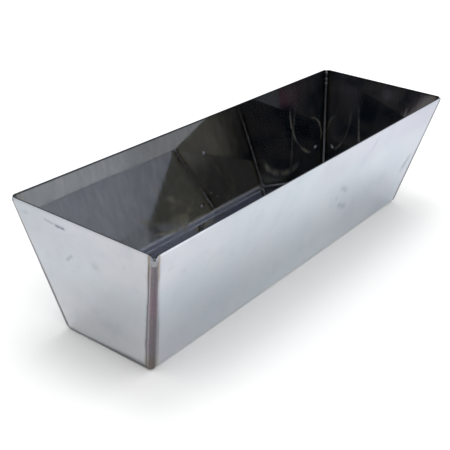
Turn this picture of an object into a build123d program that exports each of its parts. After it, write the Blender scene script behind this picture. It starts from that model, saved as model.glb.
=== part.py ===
from build123d import *
import os
from math import atan, cos, pi, tan

# Mud pan: a long open trough for carrying and loading joint compound. A single sheet is folded into
# the front wall, the floor and the back wall, and a flat plate is welded on at each end.
# The origin is the centre of the underside. X runs along the pan, Y from front to back, Z up.

# Driving dimensions, in millimetres. Lengths and widths are to the outer faces, with the folds and the
# welds taken as sharp corners.
LENGTH = 355.6          # along the rim, 14 in
WIDTH = 109.0           # across the rim
HEIGHT = 92.5
FLOOR_LENGTH = 312.6    # along the underside
FLOOR_WIDTH = 70.0      # across the underside
SHEET = 1.0             # thickness of the stainless sheet
FOLD_RADIUS = 5.0       # outside of the two long folds
CORNER_RADIUS = 2.0     # rounded top corners of every wall
ROOT_GAP = 0.2          # each plate's edge stands this far back from the joint, for the weld to fill

# Welds: a convex cap outside the corner, and a small root bead that shows inside the pan
CAP_RADIUS = 2.3
CAP_INSET = 2.0         # depth of the cap's centre line behind both outer faces
ROOT_RADIUS = 0.6
WELD_DROP = 1.5         # the side welds stop this far below the rim

CLEAR = 10.0            # how far a cutting shape runs past the part

# Slopes of the walls
SIDE_SLOPE = (WIDTH - FLOOR_WIDTH) / 2 / HEIGHT
END_SLOPE = (LENGTH - FLOOR_LENGTH) / 2 / HEIGHT
SIDE_ANGLE = atan(SIDE_SLOPE)
END_ANGLE = atan(END_SLOPE)


def half_width(z, inset):
    """Distance from the middle of the pan to a side wall, inset behind the wall's outer face."""
    return FLOOR_WIDTH / 2 + SIDE_SLOPE * z - inset / cos(SIDE_ANGLE)


def half_length(z, inset):
    """Distance from the middle of the pan to an end plate, inset behind the plate's outer face."""
    return FLOOR_LENGTH / 2 + END_SLOPE * z - inset / cos(END_ANGLE)


def tapered_outline(low, high, bottom, low_radius, high_radius):
    """A trapezoid up to the rim, with half widths low and high and with rounded corners."""
    outline = make_face(Polyline((-low, bottom), (low, bottom), (high, HEIGHT), (-high, HEIGHT), close=True))
    if high_radius:
        outline = fillet(outline.vertices().sort_by(Axis.Y)[-2:], high_radius)
    if low_radius:
        outline = fillet(outline.vertices().sort_by(Axis.Y)[:2], low_radius)
    return outline


def trough_block(inset, corner_radius=0):
    """The trough's cross-section, filled in and inset from its outer face, as a long straight block."""
    low, high = half_width(inset, inset), half_width(HEIGHT, inset)
    outline = tapered_outline(low, high, inset, FOLD_RADIUS - inset, corner_radius)
    return extrude(Plane.YZ * outline, amount=LENGTH / 2 + CLEAR, both=True)


def end_wedge(inset, corner_radius=0):
    """The space between the two end planes, inset behind the outer faces of the end plates."""
    low, high = half_length(-CLEAR, inset), half_length(HEIGHT, inset)
    outline = tapered_outline(low, high, -CLEAR, 0, corner_radius)
    return extrude(Plane.XZ * outline, amount=WIDTH / 2 + CLEAR, both=True)


def make_trough():
    """Front wall, floor and back wall, folded from one sheet."""
    folded = trough_block(0) - trough_block(SHEET)
    return folded & end_wedge(SHEET + ROOT_GAP, CORNER_RADIUS)


def make_end_plate():
    """The end plate on the -X side, with its edges just inside the trough's inner face."""
    plates = trough_block(SHEET + ROOT_GAP, CORNER_RADIUS) & (end_wedge(0) - end_wedge(SHEET))
    return plates.solids().sort_by(Axis.X)[0]


def seam_bar(inset, radius):
    """A round bar along the seam of the -X end: down the front, across the floor and up the back."""
    top = HEIGHT - WELD_DROP - radius
    route = [(-half_length(z, inset), side * half_width(z, inset), z)
             for side, z in ((-1, top), (-1, inset), (1, inset), (1, top))]
    path = FilletPolyline(*route, radius=FOLD_RADIUS - inset)
    bar = sweep(Plane(origin=path @ 0, z_dir=path % 0) * Circle(radius), path=path)
    return bar + Pos(path @ 0) * Sphere(radius) + Pos(path @ 1) * Sphere(radius)


def make_welds(trough, end_plate):
    """The front, floor and back welds of the -X end. They meet half way round the folds."""
    hollow = trough_block(SHEET) & end_wedge(SHEET)
    bead = seam_bar(CAP_INSET, CAP_RADIUS) - hollow + seam_bar(SHEET, ROOT_RADIUS)
    bead = bead - trough - end_plate
    # The underside is dressed flat, so that the pan stands on its floor and not on its welds.
    bead = split(bead, Plane.XY, Keep.TOP)
    lean = tan((pi / 2 - SIDE_ANGLE) / 2)
    front_fold = Plane(origin=(0, -FLOOR_WIDTH / 2, 0), z_dir=(0, -1, lean))
    back_fold = Plane(origin=(0, FLOOR_WIDTH / 2, 0), z_dir=(0, 1, lean))
    return {
        "front_weld": split(bead, front_fold, Keep.TOP),
        "floor_weld": split(split(bead, front_fold, Keep.BOTTOM), back_fold, Keep.BOTTOM),
        "back_weld": split(bead, back_fold, Keep.TOP),
    }


trough = make_trough()
end_plate = make_end_plate()
end_pieces = {"end_plate": end_plate, **make_welds(trough, end_plate)}

nodes = {"folded_trough": trough}
for name, piece in end_pieces.items():
    nodes["left_" + name] = piece
    nodes["right_" + name] = mirror(piece, about=Plane.YZ)

os.makedirs("parts", exist_ok=True)
for name, shape in nodes.items():
    export_step(shape, f"parts/{name}.step")
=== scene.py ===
import math

import bmesh
import bpy
from mathutils import Matrix, Vector, noise


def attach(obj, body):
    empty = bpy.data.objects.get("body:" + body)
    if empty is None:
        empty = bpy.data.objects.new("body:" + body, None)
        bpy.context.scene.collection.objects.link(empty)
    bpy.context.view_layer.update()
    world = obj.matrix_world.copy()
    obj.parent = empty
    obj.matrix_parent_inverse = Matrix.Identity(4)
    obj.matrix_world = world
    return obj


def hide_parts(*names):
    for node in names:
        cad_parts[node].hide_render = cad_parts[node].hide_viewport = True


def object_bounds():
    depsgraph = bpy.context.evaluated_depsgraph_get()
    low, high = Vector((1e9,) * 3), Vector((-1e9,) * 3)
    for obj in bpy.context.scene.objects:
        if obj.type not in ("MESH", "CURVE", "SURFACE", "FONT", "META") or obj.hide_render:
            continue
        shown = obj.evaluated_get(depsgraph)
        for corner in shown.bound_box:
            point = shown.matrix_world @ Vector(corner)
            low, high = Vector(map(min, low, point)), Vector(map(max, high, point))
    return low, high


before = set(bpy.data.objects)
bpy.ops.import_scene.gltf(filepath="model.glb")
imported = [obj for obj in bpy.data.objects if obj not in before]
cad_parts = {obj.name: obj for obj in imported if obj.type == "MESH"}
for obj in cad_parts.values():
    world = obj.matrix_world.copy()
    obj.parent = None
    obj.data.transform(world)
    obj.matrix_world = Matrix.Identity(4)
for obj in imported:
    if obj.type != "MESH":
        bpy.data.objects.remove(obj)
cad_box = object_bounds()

MM = 0.001

# ---------------------------------------------------------------------------------------------------
# Driving dimensions, in metres
# ---------------------------------------------------------------------------------------------------
LENGTH, WIDTH, HEIGHT = cad_box[1] - cad_box[0]
FLOOR_LENGTH = 312.6 * MM       # underside, with the folds and welds taken as sharp corners
FLOOR_WIDTH = 70.0 * MM
SHEET = 1.0 * MM
FOLD_RADIUS = 5.0 * MM
CORNER_RADIUS = 2.0 * MM
ROOT_GAP = 0.2 * MM
CAP_RADIUS = 2.3 * MM           # the weld's convex cap, outside the corner
CAP_INSET = 2.0 * MM            # depth of the cap's centre line behind both outer faces
ROOT_RADIUS = 0.6 * MM          # the small bead that shows inside the pan

SIDE_SLOPE = (WIDTH - FLOOR_WIDTH) / 2 / HEIGHT
END_SLOPE = (LENGTH - FLOOR_LENGTH) / 2 / HEIGHT
SIDE_ANGLE = math.atan(SIDE_SLOPE)
END_ANGLE = math.atan(END_SLOPE)

# The fold's arc: its centre stands FOLD_Y from the middle, and it meets the wall at FOLD_TOP.
FOLD_Y = FLOOR_WIDTH / 2 - FOLD_RADIUS * math.tan((math.pi / 2 - SIDE_ANGLE) / 2)
FOLD_TOP = FOLD_RADIUS * (1 - math.sin(SIDE_ANGLE))
FOLD_LENGTH = FOLD_RADIUS * (math.pi / 2 - SIDE_ANGLE)


def half_width(z, inset):
    """Distance from the middle of the pan to a side wall, inset behind the wall's outer face."""
    return FLOOR_WIDTH / 2 + SIDE_SLOPE * z - inset / math.cos(SIDE_ANGLE)


def half_length(z, inset):
    """Distance from the middle of the pan to an end plate, inset behind the plate's outer face."""
    return FLOOR_LENGTH / 2 + END_SLOPE * z - inset / math.cos(END_ANGLE)


def spread(start, end, count):
    """count + 1 evenly spaced values from start to end."""
    return [start + (end - start) * i / count for i in range(count + 1)]


def crowded(start, end, count, share=0.5):
    """Values from start to end that crowd together at both ends."""
    return [start + (end - start) * (t - share * math.sin(2 * math.pi * t) / (2 * math.pi))
            for t in spread(0, 1, count)]


# ---------------------------------------------------------------------------------------------------
# Mesh helpers
# ---------------------------------------------------------------------------------------------------
def mesh_object(name, points, faces, slots=None):
    """A smooth-shaded object with its faces turned outwards. slots gives each face's material slot."""
    mesh = bpy.data.meshes.new(name)
    mesh.from_pydata([tuple(p) for p in points], [], faces)
    for polygon, slot_number in zip(mesh.polygons, slots or [0] * len(faces)):
        polygon.material_index = slot_number
        polygon.use_smooth = True
    shell = bmesh.new()
    shell.from_mesh(mesh)
    bmesh.ops.recalc_face_normals(shell, faces=shell.faces)
    shell.to_mesh(mesh)
    shell.free()
    piece = bpy.data.objects.new(name, mesh)
    bpy.context.scene.collection.objects.link(piece)
    return piece


def two_sided_sheet(name, outer, inner):
    """A sheet from two grids of points. Its outer face and edges use slot 0, its inner face slot 1."""
    rows, columns = len(outer), len(outer[0])
    points = [p for grid in (outer, inner) for row in grid for p in row]

    def index(side, row, column):
        return (side * rows + row) * columns + column

    faces, slots = [], []
    for r in range(rows - 1):
        for c in range(columns - 1):
            corners = ((r, c), (r, c + 1), (r + 1, c + 1), (r + 1, c))
            faces.append([index(0, *corner) for corner in corners])
            faces.append([index(1, *corner) for corner in reversed(corners)])
            slots += [0, 1]
    border = [(0, c) for c in range(columns)]
    border += [(r, columns - 1) for r in range(1, rows)]
    border += [(rows - 1, c) for c in reversed(range(columns - 1))]
    border += [(r, 0) for r in reversed(range(1, rows - 1))]
    for here, there in zip(border, border[1:] + border[:1]):
        faces.append([index(0, *there), index(0, *here), index(1, *here), index(1, *there)])
        slots.append(0)
    return mesh_object(name, points, faces, slots)


def closed_tube(name, loops):
    """A closed solid from a row of equal loops of points, with a flat face at each end."""
    count = len(loops[0])
    points = [p for loop in loops for p in loop]
    faces = [list(range(count)), [(len(loops) - 1) * count + k for k in reversed(range(count))]]
    for row in range(len(loops) - 1):
        for k in range(count):
            here, beside = row * count + k, row * count + (k + 1) % count
            faces.append([here, here + count, beside + count, beside])
    return mesh_object(name, points, faces)


def dress_edges(piece):
    """Round the sheared edges a little, and keep the flats flat in the shading."""
    bevel = piece.modifiers.new("dressed edges", "BEVEL")
    bevel.width = 0.3 * MM
    bevel.segments = 3
    bevel.limit_method = "ANGLE"
    bevel.angle_limit = math.radians(50)
    normals = piece.modifiers.new("flat shading", "WEIGHTED_NORMAL")
    normals.weight = 80


# ---------------------------------------------------------------------------------------------------
# Sheet pieces
# ---------------------------------------------------------------------------------------------------
def wall_heights(bottom, corner_angle):
    """Heights of the rows on a wall, from the rim down, close together round the top corners."""
    centre = HEIGHT - CORNER_RADIUS
    arc = [centre + CORNER_RADIUS * math.sin(a) for a in spread(math.pi / 2, -corner_angle, 10)]
    return arc + crowded(arc[-1], bottom, 30, 0.9)[1:]


def corner_pull(z, reach, slope_angle, edge_inset):
    """Half extent of a wall at height z: the straight edge, or the arc where the corner is rounded."""
    centre = HEIGHT - CORNER_RADIUS
    if z <= centre - CORNER_RADIUS * math.sin(slope_angle):
        return reach(z, edge_inset)
    drop = z - centre
    return reach(centre, edge_inset + CORNER_RADIUS) + math.sqrt(max(CORNER_RADIUS**2 - drop**2, 0))


SLACK = 0.045 * MM              # the mean depth of the sheet's waviness
SLACK_FADE = 30 * MM            # height over which it fades towards the floor


def slack(share, z, seed):
    """How far thin sheet lies inside its true plane: a slow, slight wave that dies out at its ends and
    foot. share is the place along the wall, from -1 to 1."""
    held = (1 - share**4) * min(1, z / SLACK_FADE)
    wave = noise.noise(Vector((3.1 * share, 26 * z, seed)))
    return SLACK * held * (1 + wave)


def trough_section():
    """Outer and inner points of the folded sheet from the middle of the floor to the rim, +Y side."""
    floor = [(y, 0, y, SHEET) for y in crowded(0, FOLD_Y, 12, 0.8)]
    fold = []
    for angle in spread(-math.pi / 2, -SIDE_ANGLE, 12)[1:-1]:
        out, back = FOLD_RADIUS, FOLD_RADIUS - SHEET
        fold.append((FOLD_Y + out * math.cos(angle), FOLD_RADIUS + out * math.sin(angle),
                     FOLD_Y + back * math.cos(angle), FOLD_RADIUS + back * math.sin(angle)))
    wall = [(half_width(z, 0), z, half_width(z, SHEET), z)
            for z in reversed(wall_heights(FOLD_TOP + SHEET * math.sin(SIDE_ANGLE), END_ANGLE))]
    return floor + fold + wall


def make_trough():
    """The folded sheet, in rows from the rim of the front wall under the floor to the other rim."""
    half = trough_section()
    rows = [(-1, *place) for place in reversed(half)] + [(1, *place) for place in half[1:]]
    columns = crowded(-1, 1, 140, 0.6)
    outer, inner = [], []
    for side, y, z, inner_y, inner_z in rows:
        end_outer = corner_pull(z, half_length, END_ANGLE, SHEET + ROOT_GAP)
        end_inner = corner_pull(inner_z, half_length, END_ANGLE, SHEET + ROOT_GAP)
        wall = z if y > FOLD_Y else 0       # the floor has no slack
        outer.append([Vector((u * end_outer, side * (y - slack(u, wall, side)), z)) for u in columns])
        inner.append([Vector((u * end_inner, side * (inner_y - slack(u, wall, side)), inner_z))
                      for u in columns])
    return two_sided_sheet("trough", outer, inner)


def make_end_plate(name, side):
    """An end plate, on the -X side where side is -1, with its edges just inside the trough."""
    edge = SHEET + ROOT_GAP
    radius = FOLD_RADIUS - edge
    tangent_z = FOLD_RADIUS - radius * math.sin(SIDE_ANGLE)
    rows = []
    for angle in spread(-math.pi / 2, -SIDE_ANGLE, 10)[:-1]:
        rows.append((FOLD_RADIUS + radius * math.sin(angle), FOLD_Y + radius * math.cos(angle)))
    for z in reversed(wall_heights(tangent_z, SIDE_ANGLE)):
        rows.append((z, corner_pull(z, half_width, SIDE_ANGLE, edge)))
    columns = crowded(-1, 1, 60, 0.6)

    def face(inset):
        return [[Vector((side * (half_length(z, inset) - slack(u, z, 7 + side)), side * u * y, z))
                 for u in columns] for z, y in rows]

    return two_sided_sheet(name, face(0), face(SHEET))


# ---------------------------------------------------------------------------------------------------
# Welds
# ---------------------------------------------------------------------------------------------------
RIPPLE_PITCH = 1.5 * MM
RIPPLE_HEIGHT = 0.05 * MM
RIPPLE_SWEEP = 0.9 * MM         # how far a ripple trails at the edges of the cap
CAP_SWELL = 0.06 * MM           # how much the cap's radius varies along the weld
ROOT_SWELL = 0.3                # the same for the root, as a share of its radius
TOE_ANGLE = math.radians(38)    # how far the cap turns past square to each face
TIP_LENGTH = 2.0 * MM           # the rounded top end of a side weld
TIP_CENTRE = 1.5 * MM           # depth behind both outer faces of the line that the tip closes on
NECK = 0.55 * MM, 1.8 * MM      # depths behind one face and the other where the cap meets the root
ROW_STEP = 0.3 * MM
FOLD_MIDDLE = FOLD_Y + FOLD_LENGTH / 2      # where the floor weld meets the front and back welds

# How far below the rim each side weld stops
WELD_DROPS = {("left", "front"): 2.2 * MM, ("left", "back"): 1.2 * MM,
              ("right", "front"): 1.2 * MM, ("right", "back"): 0.4 * MM}
# The roots that are larger than the rest
ROOT_RADII = {("right", "front"): 0.8 * MM, ("right", "floor"): 0.8 * MM, ("right", "back"): 1.05 * MM}


def seam_frame(distance):
    """A point on the trough's outer face and its normal, as y, z, normal y, normal z. The distance is
    measured along the seam from the middle of the floor, on the +Y side."""
    if distance < FOLD_Y:
        return distance, 0, 0, -1
    if distance < FOLD_Y + FOLD_LENGTH:
        angle = (distance - FOLD_Y) / FOLD_RADIUS - math.pi / 2
        return (FOLD_Y + FOLD_RADIUS * math.cos(angle), FOLD_RADIUS + FOLD_RADIUS * math.sin(angle),
                math.cos(angle), math.sin(angle))
    z = FOLD_TOP + (distance - FOLD_Y - FOLD_LENGTH) * math.cos(SIDE_ANGLE)
    return half_width(z, 0), z, math.cos(SIDE_ANGLE), -math.sin(SIDE_ANGLE)


def weld_section(run, cap_radius, root_radius):
    """The weld's outline as pairs of insets, behind the end plate and behind the trough."""
    cap = []
    for angle in spread(-TOE_ANGLE, math.pi / 2 + TOE_ANGLE, 22):
        across = (angle - math.pi / 4) / (math.pi / 4 + TOE_ANGLE)
        ripple = math.cos(2 * math.pi * (run + RIPPLE_SWEEP * across**2) / RIPPLE_PITCH)
        radius = cap_radius + RIPPLE_HEIGHT * (ripple - 1) * (1 - across**4)
        cap.append((CAP_INSET - radius * math.cos(angle), CAP_INSET - radius * math.sin(angle)))
    root = [(SHEET + root_radius * math.cos(angle), SHEET + root_radius * math.sin(angle))
            for angle in spread(math.radians(-25), math.radians(115), 8)]
    return cap + [(NECK[1], NECK[0])] + root + [NECK]


def make_weld(name, end, side, start, stop, root_radius):
    """A weld of one end, between two distances along the seam. end is -1 or 1 for the -X or +X end, and
    side the same for the -Y or +Y side. A side weld's top end is rounded off."""
    seed = 3.7 * end + 1.3 * side
    loops = []
    for distance in spread(start, stop, round(abs(stop - start) / ROW_STEP)):
        y, z, normal_y, normal_z = seam_frame(abs(distance))
        way = math.copysign(1, distance)
        swell = noise.noise(Vector((distance * 160, seed, 0)))
        root_swell = noise.noise(Vector((distance * 260, seed, 5)))
        to_tip = stop - abs(distance) if start > 0 else TIP_LENGTH
        shrink = math.sqrt(max(1 - max(1 - to_tip / TIP_LENGTH, 0)**2, 0.0004))
        loop = []
        for p, q in weld_section(distance, CAP_RADIUS + CAP_SWELL * swell,
                                 root_radius * (1 + ROOT_SWELL * root_swell)):
            p = TIP_CENTRE + (p - TIP_CENTRE) * shrink
            q = TIP_CENTRE + (q - TIP_CENTRE) * shrink
            height = z - q * normal_z
            x = end * half_length(height, p)
            loop.append((x, way * side * (y - q * normal_y), max(height, 0)))
        loops.append(loop)
    return closed_tube(name, loops)


# Weld spatter inside the pan, in millimetres
WALL_DROPS = ((-4.1, 68.8, 1.25), (-14.1, 32.0, 0.9), (146.7, 31.6, 0.95))     # x, z and radius
PLATE_DROP = 31.4, 29.6, 1.2                                                    # y, z and radius
TACK_HEIGHTS = 89.6, 84.8, 81.2
TACK_RADIUS = 1.05
TACK_DEPTH = 1.5                # behind both outer faces


def make_spatter():
    """Weld spatter inside: drops on the back wall, one on the right end plate, and small tacks near the
    top of the far back seam."""
    drops = [(x * MM, half_width(z * MM, SHEET), z * MM, radius * MM) for x, z, radius in WALL_DROPS]
    y, z, radius = PLATE_DROP
    drops.append((half_length(z * MM, SHEET), y * MM, z * MM, radius * MM))
    depth = TACK_DEPTH * MM
    drops += [(half_length(z * MM, depth), half_width(z * MM, depth), z * MM, TACK_RADIUS * MM)
              for z in TACK_HEIGHTS]
    shell = bmesh.new()
    for number, (x, y, z, radius) in enumerate(drops):
        lump = bmesh.ops.create_icosphere(shell, subdivisions=3, radius=radius)["verts"]
        for vertex in lump:
            unevenness = noise.noise(Vector((number, 0, 0)) + vertex.co / MM)
            vertex.co = vertex.co * (1 + 0.12 * unevenness) + Vector((x, y, z))
    mesh = bpy.data.meshes.new("weld_spatter")
    shell.to_mesh(mesh)
    shell.free()
    for polygon in mesh.polygons:
        polygon.use_smooth = True
    piece = bpy.data.objects.new("weld_spatter", mesh)
    bpy.context.scene.collection.objects.link(piece)
    return piece


# ---------------------------------------------------------------------------------------------------
# Materials
# ---------------------------------------------------------------------------------------------------
class Graph:
    """A material, with short ways to add nodes to it. x, y and z are the place on the pan."""

    def __init__(self, name):
        self.material = bpy.data.materials.new(name)
        self.material.use_nodes = True
        self.tree = self.material.node_tree
        self.shader = self.tree.nodes["Principled BSDF"]
        self.place = self.node("TexCoord").outputs["Object"]
        axes = self.node("SeparateXYZ")
        self.feed(axes.inputs[0], self.place)
        self.x, self.y, self.z = axes.outputs

    def node(self, kind, **settings):
        made = self.tree.nodes.new("ShaderNode" + kind)
        for key, value in settings.items():
            setattr(made, key, value)
        return made

    def feed(self, socket, value):
        """Link a socket to another one, or set it to a constant."""
        if isinstance(value, bpy.types.NodeSocket):
            self.tree.links.new(value, socket)
        elif socket.type == "RGBA":
            socket.default_value = (*value, 1)
        else:
            socket.default_value = value

    def math(self, operation, *values):
        made = self.node("Math", operation=operation)
        for socket, value in zip(made.inputs, values):
            self.feed(socket, value)
        return made.outputs[0]

    def times(self, a, b):
        return self.math("MULTIPLY", a, b)

    def vector_math(self, operation, *values):
        made = self.node("VectorMath", operation=operation)
        for socket, value in zip(made.inputs, values):
            self.feed(socket, value)
        return made.outputs[0]

    def smooth(self, value, low, high, start=0.0, end=1.0):
        """Goes smoothly from start to end while value goes from low to high."""
        made = self.node("MapRange", interpolation_type="SMOOTHSTEP")
        for socket, setting in zip(made.inputs, (value, low, high, start, end)):
            self.feed(socket, setting)
        return made.outputs[0]

    def ridge(self, value, middle, reach):
        """1 where value is at the middle, smoothly down to 0 at a distance of reach on both sides."""
        away = self.math("ABSOLUTE", self.math("SUBTRACT", value, middle))
        return self.smooth(away, reach, 0.0)

    def noise(self, size, detail=2.0, stretch=(1, 1, 1), vector=None, offset=0.0):
        """Noise from 0 to 1, with features about size across, drawn out along the axes by stretch."""
        scaled = self.vector_math("MULTIPLY", vector or self.place, [1 / (size * s) for s in stretch])
        made = self.node("TexNoise")
        self.feed(made.inputs["Vector"], self.vector_math("ADD", scaled, (offset, offset, offset)))
        self.feed(made.inputs["Scale"], 1.0)
        self.feed(made.inputs["Detail"], detail)
        return made.outputs[0]

    def mix(self, amount, a, b, blend="MIX"):
        made = self.node("Mix", data_type="RGBA", blend_type=blend)
        self.feed(made.inputs[0], amount)
        self.feed(made.inputs[6], a)
        self.feed(made.inputs[7], b)
        return made.outputs[2]

    def tint(self, color, amount, factor):
        """Multiplies a colour by factor where amount is 1."""
        return self.mix(amount, color, self.mix(1.0, color, factor, "MULTIPLY"))

    def steps(self, distance, reach, stops):
        """A grey level that follows a list of (distance, level) pairs, up to a distance of reach."""
        made = self.node("ValToRGB")
        self.feed(made.inputs[0], self.math("DIVIDE", distance, reach))
        elements = made.color_ramp.elements
        while len(elements) < len(stops):
            elements.new(1.0)
        for element, (at, level) in zip(elements, stops):
            element.position = at / reach
            element.color = (level, level, level, 1)
        return made.outputs[0]

    def bump(self, height, distance):
        """Raises the shading by distance where height is 1."""
        made = self.node("Bump")
        self.feed(made.inputs["Height"], height)
        self.feed(made.inputs["Distance"], distance)
        self.feed(made.inputs["Strength"], 1.0)
        self.feed(self.shader.inputs["Normal"], made.outputs[0])


def seam_depths(g):
    """Distances behind the outer faces of the end plates, and of the long walls."""
    end = g.math("SUBTRACT", g.math("MULTIPLY_ADD", g.z, END_SLOPE, FLOOR_LENGTH / 2),
                 g.math("ABSOLUTE", g.x))
    side = g.math("SUBTRACT", g.math("MULTIPLY_ADD", g.z, SIDE_SLOPE, FLOOR_WIDTH / 2),
                  g.math("ABSOLUTE", g.y))
    end = g.math("MULTIPLY", end, math.cos(END_ANGLE))
    side = g.math("MULTIPLY", side, math.cos(SIDE_ANGLE))
    return end, side


def heat_bands(g, upright, foot_depth, near):
    """The grey level of a weld and of the heated steel beside it: a dark bead, and beside it a pale strip
    and a thin dark line of painted shade on the end plate, or a soft edge on the trough. upright is the
    scaled depth behind the side seams' faces, foot_depth is the same for the floor seam, and near is 1
    round the front left seam."""
    end, side = seam_depths(g)
    reach = 8 * MM
    # The dip just past the pale strip is painted shade, a thin dark line.
    plate_side = g.steps(upright, reach, (
        (0, 0.28), (1.6 * MM, 0.31), (2.2 * MM, 0.46), (2.7 * MM, 0.62), (3.2 * MM, 0.62),
        (3.55 * MM, 0.25), (3.9 * MM, 0.27), (4.3 * MM, 0.68), (5.0 * MM, 0.95), (5.8 * MM, 1.0)))
    tight = g.times(upright, g.smooth(g.z, 36 * MM, 22 * MM, 1.0, 1.12))
    trough_side = g.steps(tight, reach, (
        (0, 0.25), (1.6 * MM, 0.27), (2.2 * MM, 0.36), (2.8 * MM, 0.49), (3.4 * MM, 0.62),
        (4.1 * MM, 0.78), (4.8 * MM, 0.93), (5.6 * MM, 1.0)))
    # A faint dark line ends the heated band on the trough, low down.
    line = g.times(g.ridge(upright, 3.9 * MM, 0.5 * MM), near)
    line = g.times(line, g.times(g.smooth(g.z, 52 * MM, 38 * MM), g.smooth(g.z, 8 * MM, 14 * MM)))
    trough_side = g.tint(trough_side, line, (0.62, 0.62, 0.62))
    foot = g.steps(foot_depth, reach, (
        (0, 0.38), (1.0 * MM, 0.32), (1.9 * MM, 0.32), (2.7 * MM, 0.46), (3.7 * MM, 0.72),
        (4.6 * MM, 0.93), (5.6 * MM, 1.0)))
    plate_side = g.vector_math("MINIMUM", plate_side, foot)
    on_trough = g.smooth(g.math("SUBTRACT", end, g.math("MINIMUM", side, g.z)), -0.3 * MM, 0.3 * MM)
    return g.mix(on_trough, plate_side, trough_side)


def heat_tint(g, color):
    """Colour left by the welding, strongest on the front left seam, where the bead is a cloudy
    mauve-grey."""
    end, side = seam_depths(g)
    front = g.smooth(g.y, 25 * MM, -30 * MM)
    near = g.times(g.smooth(g.x, 20 * MM, -60 * MM), front)     # 1 round the front left seam
    # The heated band is wider on the front seams, and widens towards their foot.
    width = g.math("MULTIPLY_ADD", front, 0.42, 0.58)
    width = g.times(width, g.smooth(g.z, 72 * MM, 22 * MM, 1.0, 1.22))
    wander = g.math("MULTIPLY_ADD", g.noise(9 * MM, 4.0), 1.1 * MM, -0.55 * MM)

    def scaled(depth):
        return g.math("ADD", g.math("DIVIDE", depth, width), wander)

    upright = scaled(g.math("MAXIMUM", end, side))
    level = heat_bands(g, upright, scaled(g.z), near)
    # The start of the bead, near the rim, is still bright.
    crown = g.smooth(g.z, HEIGHT - 8.0 * MM, HEIGHT - 6.5 * MM)
    level = g.vector_math("MAXIMUM", level, g.times(crown, 0.56))
    tinted = g.mix(1.0, color, level, "MULTIPLY")
    # The other beads are darker.
    far = g.times(g.math("SUBTRACT", 1.0, near), g.smooth(upright, 4.0 * MM, 2.0 * MM))
    tinted = g.tint(tinted, far, (0.78, 0.78, 0.78))

    # Streaks and mauve patches on the bead, a brown foot, and a straw brown streak beside its top
    bead = g.times(g.smooth(upright, 4.4 * MM, 1.8 * MM), near)
    streak = g.smooth(g.noise(0.7 * MM, 3.0, stretch=(1, 1, 14), offset=2.0), 0.36, 0.66)
    tinted = g.tint(tinted, g.times(bead, streak), (0.84, 0.85, 0.87))
    patch = g.smooth(g.noise(15 * MM, 2.0, offset=4.0), 0.36, 0.64, 0.45, 1.0)
    cool = g.times(g.times(bead, patch), g.math("SUBTRACT", 1.0, crown))
    tinted = g.tint(tinted, cool, (1.13, 0.90, 0.97))
    tinted = g.tint(tinted, g.times(cool, g.ridge(g.z, 60 * MM, 17 * MM)), (1.20, 0.82, 1.02))
    halo = g.times(g.smooth(upright, 6.5 * MM, 3 * MM), near)
    tinted = g.tint(tinted, g.times(halo, g.smooth(g.z, 17 * MM, 8 * MM)), (0.97, 0.94, 0.80))
    tan = g.times(g.times(g.ridge(upright, 3.7 * MM, 1.1 * MM), g.smooth(g.z, 66 * MM, 80 * MM)), near)
    return g.tint(tinted, tan, (0.86, 0.72, 0.55))


def marks(g, face, along, height, entries):
    """Streaky scuffs on one face, from 0 to 1. Each entry is the middle along the face and up it, the
    length and the width, in millimetres, then the lean in degrees and the strength."""
    total = 0.0
    ragged = g.math("MULTIPLY_ADD", g.noise(2.5 * MM, 3.0, offset=6.0), 1.2, -0.6)
    for at, up, length, width, lean, strength in entries:
        rise, run = math.sin(math.radians(lean)), math.cos(math.radians(lean))
        across = g.math("SUBTRACT", along, at * MM)
        above = g.math("SUBTRACT", height, up * MM)
        u = g.math("ADD", g.times(across, run), g.times(above, rise))
        v = g.math("SUBTRACT", g.times(above, run), g.times(across, rise))
        past = g.math("MAXIMUM", g.math("SUBTRACT", g.math("ABSOLUTE", u), length * MM / 2), 0.0)
        away = g.math("SQRT", g.math("ADD", g.times(past, past), g.times(v, v)))
        away = g.math("MULTIPLY_ADD", ragged, 0.7 * width * MM, away)
        lie = g.node("CombineXYZ")
        g.feed(lie.inputs[0], g.math("DIVIDE", u, 9.0))
        g.feed(lie.inputs[1], v)
        streaks = g.smooth(g.noise(0.9 * MM, 2.0, vector=lie.outputs[0]), 0.30, 0.58, 0.35, 1.0)
        total = g.math("MAXIMUM", total, g.times(g.smooth(away, width * MM, 0.0, 0.0, strength), streaks))
    return g.times(total, face)


def fine_scratches(g, size, lean, least):
    """Short straight scratches across any wall, from 0 to 1, at a lean in radians from level."""
    along = g.math("ADD", g.x, g.y)
    u = g.math("ADD", g.times(along, math.cos(lean)), g.times(g.z, math.sin(lean)))
    v = g.math("SUBTRACT", g.times(g.z, math.cos(lean)), g.times(along, math.sin(lean)))
    line = g.node("CombineXYZ")
    g.feed(line.inputs[0], g.math("DIVIDE", u, 40.0))
    g.feed(line.inputs[1], v)
    return g.smooth(g.noise(size, 1.0, vector=line.outputs[0]), least, least + 0.08)


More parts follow.
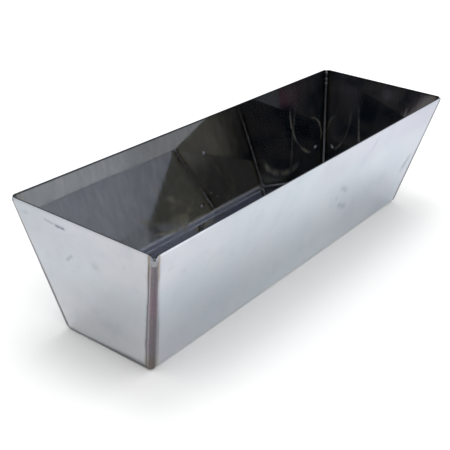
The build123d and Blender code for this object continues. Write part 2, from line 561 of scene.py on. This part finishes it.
# Handling marks, as marks() takes them: on the left end plate, and on the front wall
END_MARKS = (
    (16.0, 84.9, 5.5, 1.9, 1, 1.0),
    (24.5, 85.8, 6.0, 1.5, 8, 0.55),
    (14.6, 64.1, 6.0, 2.0, -45, 0.42),
    (8.5, 60.0, 3.0, 2.4, -40, 0.10),
    (-6.2, 66.3, 2.0, 4.4, 0, 0.24),
    (43.0, 85.0, 3.0, 2.6, -20, 0.24),
    (-30.0, 76.0, 1.0, 2.2, -60, 0.12),
)
FRONT_MARKS = (
    (149.5, 41.0, 10.0, 5.5, 50, 0.56),
    (38.5, 55.0, 10.0, 4.0, -26, 0.42),
    (44.0, 38.8, 12.0, 4.0, -28, 0.46),
    (30.5, 50.0, 3.0, 3.0, -26, 0.20),
    (67.5, 82.0, 8.0, 4.0, 70, 0.20),
    (-161.0, 78.2, 2.0, 3.0, 20, 0.16),
    (-148.0, 70.0, 2.0, 3.0, -20, 0.16),
)


def painted_light_and_shade(g, color, end_face, front_face):
    """Broad, soft painted light and shade on the left end plate and the front wall, matching lighter and
    darker parts of what they reflect.
    """
    # Painted shade towards the top outer corners
    corner = g.math("MAXIMUM", g.times(end_face, g.smooth(g.y, -5 * MM, 42 * MM)),
                    g.times(front_face, g.smooth(g.x, 95 * MM, 165 * MM)))
    color = g.tint(color, g.times(corner, g.smooth(g.z, 40 * MM, 84 * MM)), (0.88, 0.89, 0.90))

    # The end plate is warmer and a little darker overall, with painted shade at the top, painted light
    # near the front seam at mid height, and painted light along its foot, where it reflects the shadowed
    # floor.
    painted_seam_light = g.times(g.smooth(g.y, 18 * MM, 4 * MM), g.ridge(g.z, 33 * MM, 24 * MM))
    color = g.tint(color, end_face, (0.93, 0.905, 0.89))
    for place, factor in (
            (g.smooth(g.z, 56 * MM, 78 * MM), (0.965, 0.955, 0.96)),
            (painted_seam_light, (1.07, 1.065, 1.065)),
            (g.smooth(g.z, 50 * MM, 20 * MM), (1.11, 1.10, 1.10)),
            (g.smooth(g.z, 24 * MM, 6 * MM), (1.21, 1.19, 1.16))):
        color = g.tint(color, g.times(end_face, place), factor)

    # Painted light and shade on the front wall: lighter in the middle, towards its rim and along its
    # foot, and darker at its far end.
    far_top = g.times(g.smooth(g.x, -30 * MM, 15 * MM), g.smooth(g.z, 64 * MM, 80 * MM))
    near_top = g.times(g.smooth(g.x, -70 * MM, -130 * MM), g.smooth(g.z, 50 * MM, 78 * MM))
    near_foot = g.times(g.smooth(g.x, -110 * MM, -150 * MM), g.smooth(g.z, 32 * MM, 12 * MM))
    for place, factor in (
            (g.smooth(g.z, 48 * MM, 80 * MM), (1.05, 1.05, 1.05)),
            (g.ridge(g.x, 5 * MM, 125 * MM), (1.065, 1.085, 1.08)),
            (g.smooth(g.x, 60 * MM, 125 * MM), (0.895, 0.905, 0.945)),
            (far_top, (0.925, 0.89, 0.915)),
            (g.ridge(g.x, 62 * MM, 36 * MM), (0.94, 0.945, 0.97)),
            (near_top, (1.055, 1.02, 1.02)),
            (near_foot, (0.96, 0.93, 0.95)),
            (g.smooth(g.z, 24 * MM, 6 * MM), (1.07, 1.07, 1.06))):
        color = g.tint(color, g.times(front_face, place), factor)
    return color


def rim_edge(g, color, end, side, front_face):
    """A painted shade line under the rim, a painted highlight on it at the front left corner, and a
    sheared edge darkened with painted shade.
    end and side are the depths behind the outer faces."""
    depth = g.math("SUBTRACT", HEIGHT, g.z)
    under = g.smooth(depth, 2.2 * MM, 0.9 * MM)
    painted_highlight_corner = g.times(front_face, g.smooth(g.x, -105 * MM, -145 * MM))
    # Painted shade in a line under the rim, and a painted highlight in its place at the front left corner
    color = g.tint(color, g.times(under, g.math("SUBTRACT", 1.0, painted_highlight_corner)), (0.90, 0.90, 0.90))
    color = g.tint(color, g.times(under, painted_highlight_corner), (1.20, 1.20, 1.22))
    # Painted shade: the sheared top edge is darkened into a dark outline
    sheared = g.times(g.smooth(depth, 0.42 * MM, 0.24 * MM),
                      g.smooth(g.math("MINIMUM", end, side), 0.3 * MM, 0.45 * MM))
    return g.tint(color, sheared, (0.17, 0.17, 0.18))


def outside_steel():
    """Satin mill finish: level grain, a blue and lavender cast, handling marks, heat tint, and painted
    light and shade.
    """
    g = Graph("stainless_outside")
    cast = g.smooth(g.noise(38 * MM, 2.5), 0.38, 0.62)
    color = g.mix(cast, (0.548, 0.596, 0.647), (0.578, 0.610, 0.657))
    grain = g.noise(0.5 * MM, 3.0, stretch=(14, 14, 1))
    cloud = g.noise(16 * MM, 4.0, offset=9.0)
    blotch = g.noise(2.6 * MM, 3.0, stretch=(1.6, 1.6, 1), offset=5.0)
    color = g.mix(1.0, color, g.mix(grain, (0.96, 0.96, 0.96), (1.035, 1.035, 1.035)), "MULTIPLY")
    color = g.tint(color, g.smooth(cloud, 0.50, 0.72), (0.935, 0.945, 0.955))
    color = g.tint(color, g.smooth(blotch, 0.45, 0.75), (0.955, 0.96, 0.965))
    scratches = g.math("MAXIMUM", fine_scratches(g, 0.35 * MM, 0.5, 0.70),
                       fine_scratches(g, 0.3 * MM, -0.9, 0.72))
    color = g.tint(color, g.times(scratches, 0.5), (0.86, 0.87, 0.89))
    # Painted shade: the lower half is a little darker, standing in for the shadowed floor it reflects.
    dull = g.smooth(g.math("MULTIPLY_ADD", cloud, 14 * MM, g.z), 66 * MM, 36 * MM)
    color = g.tint(color, dull, (0.925, 0.925, 0.925))

    end, side = seam_depths(g)
    end_face = g.times(g.math("LESS_THAN", end, 0.3 * MM), g.math("LESS_THAN", g.x, 0.0))
    front_face = g.times(g.math("LESS_THAN", side, 0.3 * MM), g.math("LESS_THAN", g.y, 0.0))
    scuffs = g.math("MAXIMUM", marks(g, end_face, g.y, g.z, END_MARKS),
                    marks(g, front_face, g.x, g.z, FRONT_MARKS))
    color = g.tint(color, scuffs, (0.34, 0.36, 0.39))
    color = painted_light_and_shade(g, color, end_face, front_face)
    color = rim_edge(g, color, end, side, front_face)
    color = heat_tint(g, color)
    g.feed(g.shader.inputs["Base Color"], color)
    g.shader.inputs["Metallic"].default_value = 1.0
    worn = g.math("MULTIPLY_ADD", cloud, 0.10, 0.17)
    g.feed(g.shader.inputs["Roughness"], g.math("MULTIPLY_ADD", scuffs, 0.1, worn))
    g.bump(g.math("MULTIPLY_ADD", scratches, -0.6, grain), 0.004 * MM)
    return g.material


# Curved edges of dried stains on the back wall. Each has its centre along and up the wall, its radius and
# its width, in millimetres, then the direction of the middle of its arc and half the arc's angle, in
# degrees from level, and its strength. The one with no radius is a round smudge.
STAINS = (
    (150, 65, 37, 2.4, 212, 36, 1.0),
    (145, 43, 14.5, 1.8, 28, 56, 0.8),
    (104, 69, 46, 4.5, 252, 32, 0.8),
    (-36, 31, 0, 22, 0, 180, 0.80),
    (-55, 28, 22, 4.0, 10, 60, 0.9),
    (-34, 134, 110, 2.2, 267, 13, 1.0),
)


def water_marks(g):
    """Dried stains low on the back wall, and an upright run on the far end plate, from 0 to 1."""
    stains = 0.0
    for at, up, radius, width, turn, half_angle, strength in STAINS:
        across = g.math("SUBTRACT", g.x, at * MM)
        above = g.math("SUBTRACT", g.z, up * MM)
        away = g.math("SQRT", g.math("ADD", g.times(across, across), g.times(above, above)))
        toward = g.math("ADD", g.times(across, math.cos(math.radians(turn))),
                        g.times(above, math.sin(math.radians(turn))))
        arc = g.times(g.ridge(away, radius * MM, width * MM), strength)
        if half_angle < 180:
            turned = g.math("DIVIDE", toward, g.math("ADD", away, 0.1 * MM))
            arc = g.times(arc, g.smooth(turned, math.cos(math.radians(1.3 * half_angle)),
                                        math.cos(math.radians(0.7 * half_angle))))
        stains = g.math("MAXIMUM", stains, arc)
    stains = g.times(stains, g.times(g.smooth(g.y, 32 * MM, 36 * MM), g.smooth(g.z, 17 * MM, 22 * MM)))
    run = g.times(g.ridge(g.math("MULTIPLY_ADD", g.z, -0.26, g.y), -2.6 * MM, 1.6 * MM),
                  g.smooth(g.x, 155 * MM, 160 * MM))
    run = g.times(run, g.times(g.smooth(g.z, 72 * MM, 62 * MM), 0.45))
    broken = g.smooth(g.noise(9 * MM, 3.0, offset=8.0), 0.34, 0.60, 0.2, 1.0)
    return g.times(g.math("MAXIMUM", stains, run), broken)


def inside_steel():
    """Bright finish inside: nearly a mirror, with upright smears, smudges, stains and fine scratches."""
    g = Graph("stainless_inside")
    smear = g.noise(4 * MM, 2.0, stretch=(1, 1, 9))
    smudge = g.smooth(g.noise(20 * MM, 4.0, stretch=(1, 1, 1.6), offset=3.0), 0.42, 0.70)
    scratches = g.math("MAXIMUM", fine_scratches(g, 0.4 * MM, 0.15, 0.72),
                       fine_scratches(g, 0.35 * MM, 1.2, 0.73))
    stains = water_marks(g)
    color = g.mix(g.smooth(smear, 0.3, 0.7), (0.695, 0.697, 0.70), (0.760, 0.762, 0.765))
    color = g.tint(color, smudge, (0.95, 0.955, 0.965))
    color = g.tint(color, stains, (1.0, 0.93, 0.68))
    # The floor is duller and bluer than the walls.
    color = g.tint(color, g.smooth(g.z, 3.5 * MM, 1.2 * MM), (0.78, 0.81, 0.92))
    # Each fold has a painted highlight along its top, and painted shade in the crease where it runs into
    # the floor.
    color = g.tint(color, g.ridge(g.z, 3.6 * MM, 1.2 * MM), (1.22, 1.22, 1.28))
    painted_crease_shade = g.times(g.smooth(g.math("ABSOLUTE", g.y), FOLD_Y - 6 * MM, FOLD_Y - 2 * MM),
                     g.smooth(g.z, 2.6 * MM, 1.6 * MM))
    color = g.tint(color, painted_crease_shade, (0.80, 0.80, 0.80))
    # Straw-coloured heat tint in a band a few millimetres from every seam
    end, side = seam_depths(g)
    beside = g.math("SUBTRACT", g.math("MAXIMUM", end, g.math("MINIMUM", side, g.z)), SHEET)
    straw = g.times(g.smooth(beside, 9 * MM, 5 * MM), g.smooth(beside, 1.2 * MM, 3 * MM))
    color = g.tint(color, g.times(straw, 0.6), (0.95, 0.91, 0.78))
    # A dark line beside every weld, wider at the right end: heat tint together with painted shade in the
    # inside corner
    color = g.tint(color, g.ridge(beside, 2.0 * MM, 1.4 * MM), (0.38, 0.35, 0.40))
    burn_and_shade = g.times(g.ridge(beside, 2.6 * MM, 2.4 * MM), g.smooth(g.x, 100 * MM, 130 * MM))
    color = g.tint(color, burn_and_shade, (0.50, 0.47, 0.44))
    # Painted shade: a dark line along the sheared edge at the rim
    color = g.tint(color, g.smooth(g.z, HEIGHT - 0.9 * MM, HEIGHT - 0.4 * MM), (0.30, 0.30, 0.32))
    g.feed(g.shader.inputs["Base Color"], color)
    film = g.math("MULTIPLY_ADD", smudge, 0.014, g.times(stains, 0.26))
    g.feed(g.shader.inputs["Metallic"], g.math("SUBTRACT", 1.0, film))
    g.shader.inputs["Specular IOR Level"].default_value = 0.2
    rough = g.math("MULTIPLY_ADD", smudge, 0.05, 0.03)
    rough = g.math("MULTIPLY_ADD", stains, 0.12, rough)
    g.feed(g.shader.inputs["Roughness"], g.math("MULTIPLY_ADD", scratches, 0.15, rough))
    g.bump(g.math("MULTIPLY_ADD", scratches, -0.05, smear), 0.008 * MM)
    return g.material


def weld_steel():
    """Weld metal: dull and heat tinted outside, clean and pale where the root shows inside."""
    g = Graph("weld_bead")
    speckle = g.noise(0.6 * MM, 4.0)
    color = g.mix(speckle, (0.483, 0.492, 0.517), (0.600, 0.600, 0.617))
    end, side = seam_depths(g)
    inner = g.smooth(g.math("MINIMUM", end, g.math("MINIMUM", side, g.z)), 0.8 * MM, 1.05 * MM)
    pale = g.mix(speckle, (0.62, 0.62, 0.62), (0.80, 0.80, 0.80))
    # The root and the drops near the far back corner are the brightest.
    far_back = g.times(g.smooth(g.x, 120 * MM, 140 * MM), g.smooth(g.y, 10 * MM, 30 * MM))
    pale = g.tint(pale, far_back, (1.20, 1.20, 1.18))
    color = g.mix(inner, heat_tint(g, color), pale)
    g.feed(g.shader.inputs["Base Color"], color)
    g.shader.inputs["Metallic"].default_value = 1.0
    g.feed(g.shader.inputs["Roughness"], g.math("MULTIPLY_ADD", speckle, 0.20, 0.24))
    g.bump(speckle, 0.02 * MM)
    return g.material


# ---------------------------------------------------------------------------------------------------
# Stage: floor, light and camera
# ---------------------------------------------------------------------------------------------------
def make_floor():
    """A pale matt floor, wide enough to fill the view."""
    bpy.ops.mesh.primitive_circle_add(vertices=96, radius=14, fill_type="NGON", location=(0, 0, 0))
    floor = bpy.context.object
    floor.name = "studio_floor"
    paper = Graph("studio_floor")
    paper.shader.inputs["Base Color"].default_value = (0.82, 0.82, 0.82, 1)
    paper.shader.inputs["Roughness"].default_value = 0.9
    paper.shader.inputs["Specular IOR Level"].default_value = 0.0
    floor.data.materials.append(paper.material)


def towards(azimuth, elevation):
    """A direction, with its azimuth in degrees from +Y towards +X."""
    turn, rise = math.radians(azimuth), math.radians(elevation)
    return Vector((math.sin(turn) * math.cos(rise), math.cos(turn) * math.cos(rise), math.sin(rise)))


# The room that the bright inside reflects, as soft round patches: azimuth and elevation of the middle,
# the radii where the patch is full and where it ends, all in degrees, and its colour.
ROOM = (
    (25, 8, 16, 26, (0.390, 0.410, 0.435)),         # window on the right
    (60, 10, 25, 45, (0.262, 0.270, 0.282)),        # pale wall round it
    (150, 40, 14, 34, (0.355, 0.376, 0.425)),       # window at the front right
    (-130, 60, 12, 19, (0.330, 0.325, 0.300)),      # lamp over the front left
    (-146, 40, 5, 12, (0.120, 0.117, 0.098)),       # glow on the wall under the lamp
    (-118, 38, 8, 18, (0.048, 0.047, 0.045)),       # dim wall at the left, with a paler part
    (-108, 34, 6, 12, (0.080, 0.083, 0.088)),
    (-36, 29, 6, 8.6, (0.110, 0.106, 0.090)),       # far left corner of the room
    (-50, 52, 7, 12, (0.100, 0.110, 0.150)),        # bluish ceiling over it
    (-72.3, 4.5, 3.9, 4.6, (0.125, 0.115, 0.120)),  # pale box low on the left
    (-131, 16.5, 3.3, 3.9, (0.046, 0.048, 0.053)),  # grey board at the near left
    (-126.8, 16.8, 0.2, 1.0, (0.046, 0.027, 0.036)),    # pink thing on the board
    (-111.3, 16.2, 0.4, 1.1, (0.030, 0.028, 0.034)),    # two small dim things
    (-66.7, 6.9, 0.1, 0.7, (0.036, 0.035, 0.042)),
)
ROOM_CLUTTER = 38               # how fine the clutter of the dark left side is
# The dome lights the floor only: its level, and how much the front adds and the back takes away
DOME_LEVEL = 1.36
DOME_FRONT = 0.265


def make_world():
    """Soft studio light: a dome, a little brighter at the front, lights the floor, and a room shows in
    the reflections: a ceiling panel, pale walls on the right and a dark low left side."""
    world = bpy.data.worlds.new("studio")
    bpy.context.scene.world = world
    world.use_nodes = True
    tree = world.node_tree
    nodes, links = tree.nodes, tree.links
    background = nodes["Background"]
    direction = nodes.new("ShaderNodeTexCoord").outputs["Generated"]

    def along(axis):
        """The cosine of the angle from an axis."""
        made = nodes.new("ShaderNodeVectorMath")
        made.operation = "DOT_PRODUCT"
        links.new(direction, made.inputs[0])
        made.inputs[1].default_value = Vector(axis).normalized()
        return made.outputs["Value"]

    def mixed(amount, dark, light):
        made = nodes.new("ShaderNodeMix")
        made.data_type = "RGBA"
        links.new(amount, made.inputs[0])
        for socket, color in ((made.inputs[6], dark), (made.inputs[7], light)):
            if isinstance(color, bpy.types.NodeSocket):
                links.new(color, socket)
            else:
                socket.default_value = (*color, 1)
        return made.outputs[2]

    def glow(value, low, high, dark, light):
        """A colour that goes smoothly from dark to light as a value rises from low to high."""
        amount = nodes.new("ShaderNodeMapRange")
        amount.interpolation_type = "SMOOTHSTEP"
        links.new(value, amount.inputs["Value"])
        amount.inputs["From Min"].default_value = low
        amount.inputs["From Max"].default_value = high
        return mixed(amount.outputs[0], dark, light)

    clutter = nodes.new("ShaderNodeTexNoise")
    links.new(direction, clutter.inputs["Vector"])
    clutter.inputs["Scale"].default_value = ROOM_CLUTTER
    clutter.inputs["Detail"].default_value = 4
    dim = glow(clutter.outputs[0], 0.42, 0.60, (0.003, 0.005, 0.008), (0.020, 0.019, 0.020))
    panel = glow(along((0, 1, 0)), 0.05, 0.5, (0.215, 0.232, 0.280), (0.375, 0.395, 0.420))
    room = glow(along((0.3, 0, 1)), 0.50, 0.68, dim, panel)
    for azimuth, elevation, full, edge, color in ROOM:
        patch = glow(along(towards(azimuth, elevation)), math.cos(math.radians(edge)),
                     math.cos(math.radians(full)), (0, 0, 0), color)
        brighter = nodes.new("ShaderNodeVectorMath")
        brighter.operation = "MAXIMUM"
        links.new(room, brighter.inputs[0])
        links.new(patch, brighter.inputs[1])
        room = brighter.outputs[0]

    front = nodes.new("ShaderNodeMath")
    front.operation = "MULTIPLY_ADD"
    links.new(along((0.1, -1, 0)), front.inputs[0])
    front.inputs[1].default_value = DOME_FRONT
    front.inputs[2].default_value = DOME_LEVEL
    rays = nodes.new("ShaderNodeLightPath")
    dome = mixed(rays.outputs["Is Diffuse Ray"], room, front.outputs[0])
    links.new(mixed(rays.outputs["Is Camera Ray"], dome, (0.95, 0.95, 0.95)), background.inputs["Color"])


def make_overhead_light():
    """A soft lamp over the back of the pan, which doesn't show in the reflections."""
    place = Vector((0.1, 0.3, 1.8))
    light = bpy.data.lights.new("overhead", "AREA")
    light.shape = "DISK"
    light.size = 0.7
    light.energy = 6
    lamp = bpy.data.objects.new("overhead", light)
    lamp.location = place
    lamp.rotation_euler = (-place).to_track_quat("-Z", "Y").to_euler()
    lamp.visible_glossy = False
    bpy.context.scene.collection.objects.link(lamp)


def make_camera():
    """The camera looks at a point near the middle of the pan, from the front left and above."""
    azimuth, elevation, roll = math.radians(-54.83), math.radians(26.87), math.radians(3.05)
    distance = 0.6197
    aim = Vector((-0.0058, 0.0247, 0.0187))
    back = Vector((math.sin(azimuth) * math.cos(elevation),
                   -math.cos(azimuth) * math.cos(elevation),
                   math.sin(elevation)))
    right = Vector((0, 0, 1)).cross(back).normalized()
    up = back.cross(right)
    tilt_right = math.cos(roll) * right + math.sin(roll) * up
    tilt_up = math.cos(roll) * up - math.sin(roll) * right
    data = bpy.data.cameras.new("camera")
    data.sensor_width = 36
    data.lens = 67.0
    data.clip_end = 50
    camera = bpy.data.objects.new("camera", data)
    axes = Matrix((tilt_right, tilt_up, back)).transposed().to_4x4()
    camera.matrix_world = Matrix.Translation(aim + distance * back) @ axes
    bpy.context.scene.collection.objects.link(camera)
    bpy.context.scene.camera = camera


# ---------------------------------------------------------------------------------------------------
# The pan
# ---------------------------------------------------------------------------------------------------
make_camera()
make_world()
make_floor()
make_overhead_light()

outside = outside_steel()
inside = inside_steel()
weld_metal = weld_steel()

trough = make_trough()
left_plate = make_end_plate("left_end_plate_skin", -1)
right_plate = make_end_plate("right_end_plate_skin", 1)
for piece, node, slot_name in ((trough, "folded_trough", "trough_sheet"),
                               (left_plate, "left_end_plate", "end_sheet"),
                               (right_plate, "right_end_plate", "end_sheet")):
    piece.data.materials.append(outside)
    piece.data.materials.append(inside)
    dress_edges(piece)
    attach(piece, "root")
    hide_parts(node)

for end_name, end in (("left", -1), ("right", 1)):
    for place, side in (("front", -1), ("floor", 1), ("back", 1)):
        if place == "floor":
            start, stop = -FOLD_MIDDLE, FOLD_MIDDLE
        else:
            top = HEIGHT - WELD_DROPS[end_name, place] - FOLD_TOP
            start, stop = FOLD_MIDDLE, FOLD_Y + FOLD_LENGTH + top / math.cos(SIDE_ANGLE)
        root_radius = ROOT_RADII.get((end_name, place), ROOT_RADIUS)
        weld = make_weld(f"{end_name}_{place}_bead", end, side, start, stop, root_radius)
        weld.data.materials.append(weld_metal)
        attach(weld, "root")
        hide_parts(f"{end_name}_{place}_weld")

spatter = make_spatter()
spatter.data.materials.append(weld_metal)
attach(spatter, "root")

bpy.context.scene.view_settings.view_transform = "Standard"
